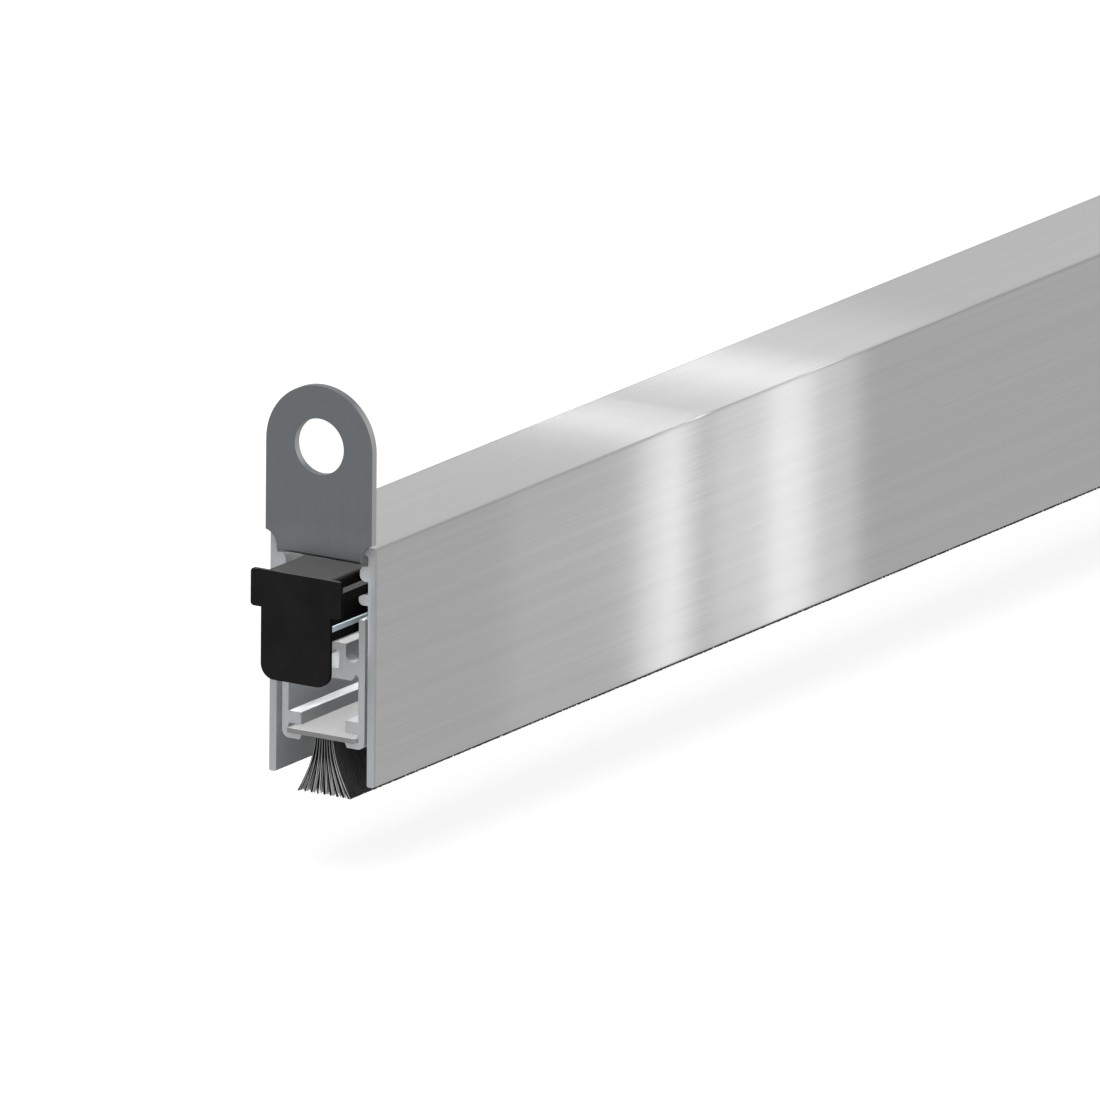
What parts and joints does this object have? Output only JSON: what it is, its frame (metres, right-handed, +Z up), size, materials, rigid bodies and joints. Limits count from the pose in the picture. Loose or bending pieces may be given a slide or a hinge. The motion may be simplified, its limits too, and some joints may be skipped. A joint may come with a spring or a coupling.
{
  "type": "automatic door bottom seal",
  "caption": "Drop-down door bottom seal: an inverted-U housing with end fixing tabs, a sprung plunger, leaf-spring link and a brush carriage that lowers when the plunger is pushed in.",
  "frame": {"origin": "centre of the housing's top face, halfway along it", "axes": "+X along the seal, away from the plunger end; +Z up, into the groove in the door leaf"},
  "size_m": [0.3421, 0.0152, 0.0516],
  "materials": {
    "brushed_aluminium": "brushed along its length",
    "mill_aluminium": "plain extruded",
    "steel_sheet": "zinc plated, satin grey",
    "spring_steel": "bright",
    "fastener_steel": "plain",
    "black_plastic": "moulded, satin",
    "backing_strip": "satin grey",
    "bristles": "black nylon bristle"
  },
  "bodies": {
    "housing": {"housing": "brushed_aluminium", "plunger_end_bracket": "steel_sheet", "far_end_bracket": "steel_sheet", "anchor_block": "black_plastic", "anchor_pin_1": "fastener_steel", "anchor_set_screw_1": "fastener_steel", "anchor_set_screw_2": "fastener_steel", "front_leaf_spring": "spring_steel", "rear_leaf_spring": "spring_steel"},
    "plunger": {"plunger": "black_plastic", "push_strip": "spring_steel", "plunger_pin_1": "fastener_steel", "plunger_pin_2": "fastener_steel", "front_guide_block": "black_plastic", "front_block_pin_1": "fastener_steel", "front_block_pin_2": "fastener_steel"},
    "middle_slider": {"middle_front_block": "black_plastic", "middle_strip": "spring_steel", "middle_rear_block": "black_plastic", "middle_front_pin_1": "fastener_steel", "middle_front_pin_2": "fastener_steel", "middle_rear_pin_1": "fastener_steel", "middle_rear_pin_2": "fastener_steel"},
    "carriage": {"carriage_profile": "mill_aluminium", "brush_backing": "backing_strip", "brush_bristles": "bristles", "front_saddle": "black_plastic", "front_saddle_nut": "fastener_steel", "front_saddle_screw": "fastener_steel", "rear_saddle": "black_plastic", "rear_saddle_nut": "fastener_steel", "rear_saddle_screw": "fastener_steel"}
  },
  "joints": [
    {"name": "plunger_press", "type": "slide", "parent": "housing", "child": "plunger", "axis": [1, 0, 0], "range_m": [0, 0.005], "stiffness_N_per_m": 3000, "springref_m": -0.003},
    {"name": "middle_slide", "type": "slide", "parent": "housing", "child": "middle_slider", "axis": [1, 0, 0], "range_m": [0, 0.0025]},
    {"name": "carriage_drop", "type": "slide", "parent": "housing", "child": "carriage", "axis": [0, 0, -1], "range_m": [0, 0.01], "deforming": ["front_leaf_spring", "rear_leaf_spring"]}
  ],
  "couplings": [
    {"joint": "middle_slide", "follows": "plunger_press", "ratio": 0.5},
    {"joint": "carriage_drop", "follows": "plunger_press", "ratio": 2}
  ]
}
